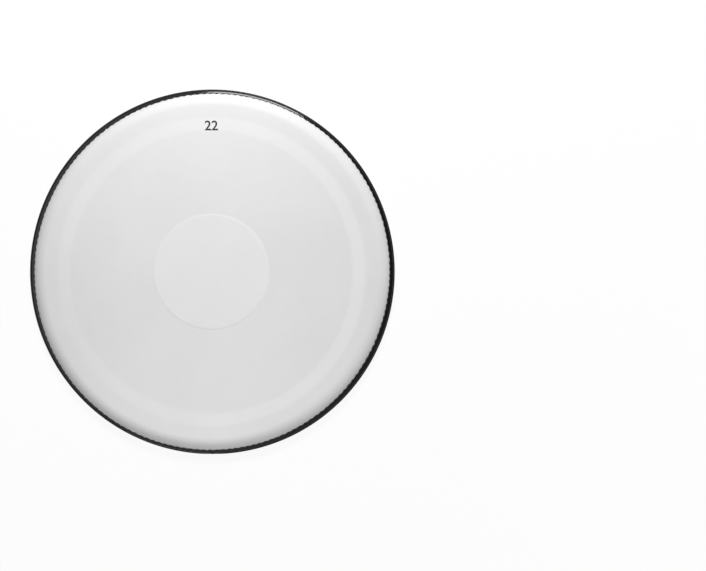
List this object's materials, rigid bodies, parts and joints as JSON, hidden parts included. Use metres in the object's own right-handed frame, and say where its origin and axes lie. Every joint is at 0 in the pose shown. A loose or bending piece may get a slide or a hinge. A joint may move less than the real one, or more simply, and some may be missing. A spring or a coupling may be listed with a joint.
{
  "type": "drum head",
  "caption": "Bass drum head: white film with a pleated skirt locked in an aluminium channel hoop, a centre patch, and a muffling ring floating on felt underneath.",
  "frame": {"origin": "on the head's axis, level with the foot of the hoop", "axes": "+Z out of the playing side; the hoop's butt joint is at -Y"},
  "size_m": [0.578, 0.5779, 0.0248],
  "materials": {
    "hoop_aluminium": "rolled, satin, fine drawing lines along the hoop",
    "splice_steel": "plain",
    "lock_black": "gloss black on steel",
    "head_film": "white coated polyester film, satin",
    "dot_film": "white polyester film, satin",
    "adhesive": "clear layer",
    "felt": "white wool felt",
    "ring_film": "white polyester film, smooth"
  },
  "bodies": {
    "head": {"hoop_channel": "hoop_aluminium", "joint_splice": "splice_steel", "lock_ring": "lock_black", "head_film": "head_film", "dot_adhesive": "adhesive", "centre_dot": "dot_film", "felt_adhesive": "adhesive", "muffle_felt": "felt"},
    "floating_ring": {"ring_adhesive": "adhesive", "muffle_ring": "ring_film"}
  },
  "joints": [
    {"name": "ring_float", "type": "slide", "parent": "head", "child": "floating_ring", "axis": [0, 0, 1], "range_m": [0, 0.001], "stiffness_N_per_m": 400, "deforming": ["muffle_felt"]}
  ]
}
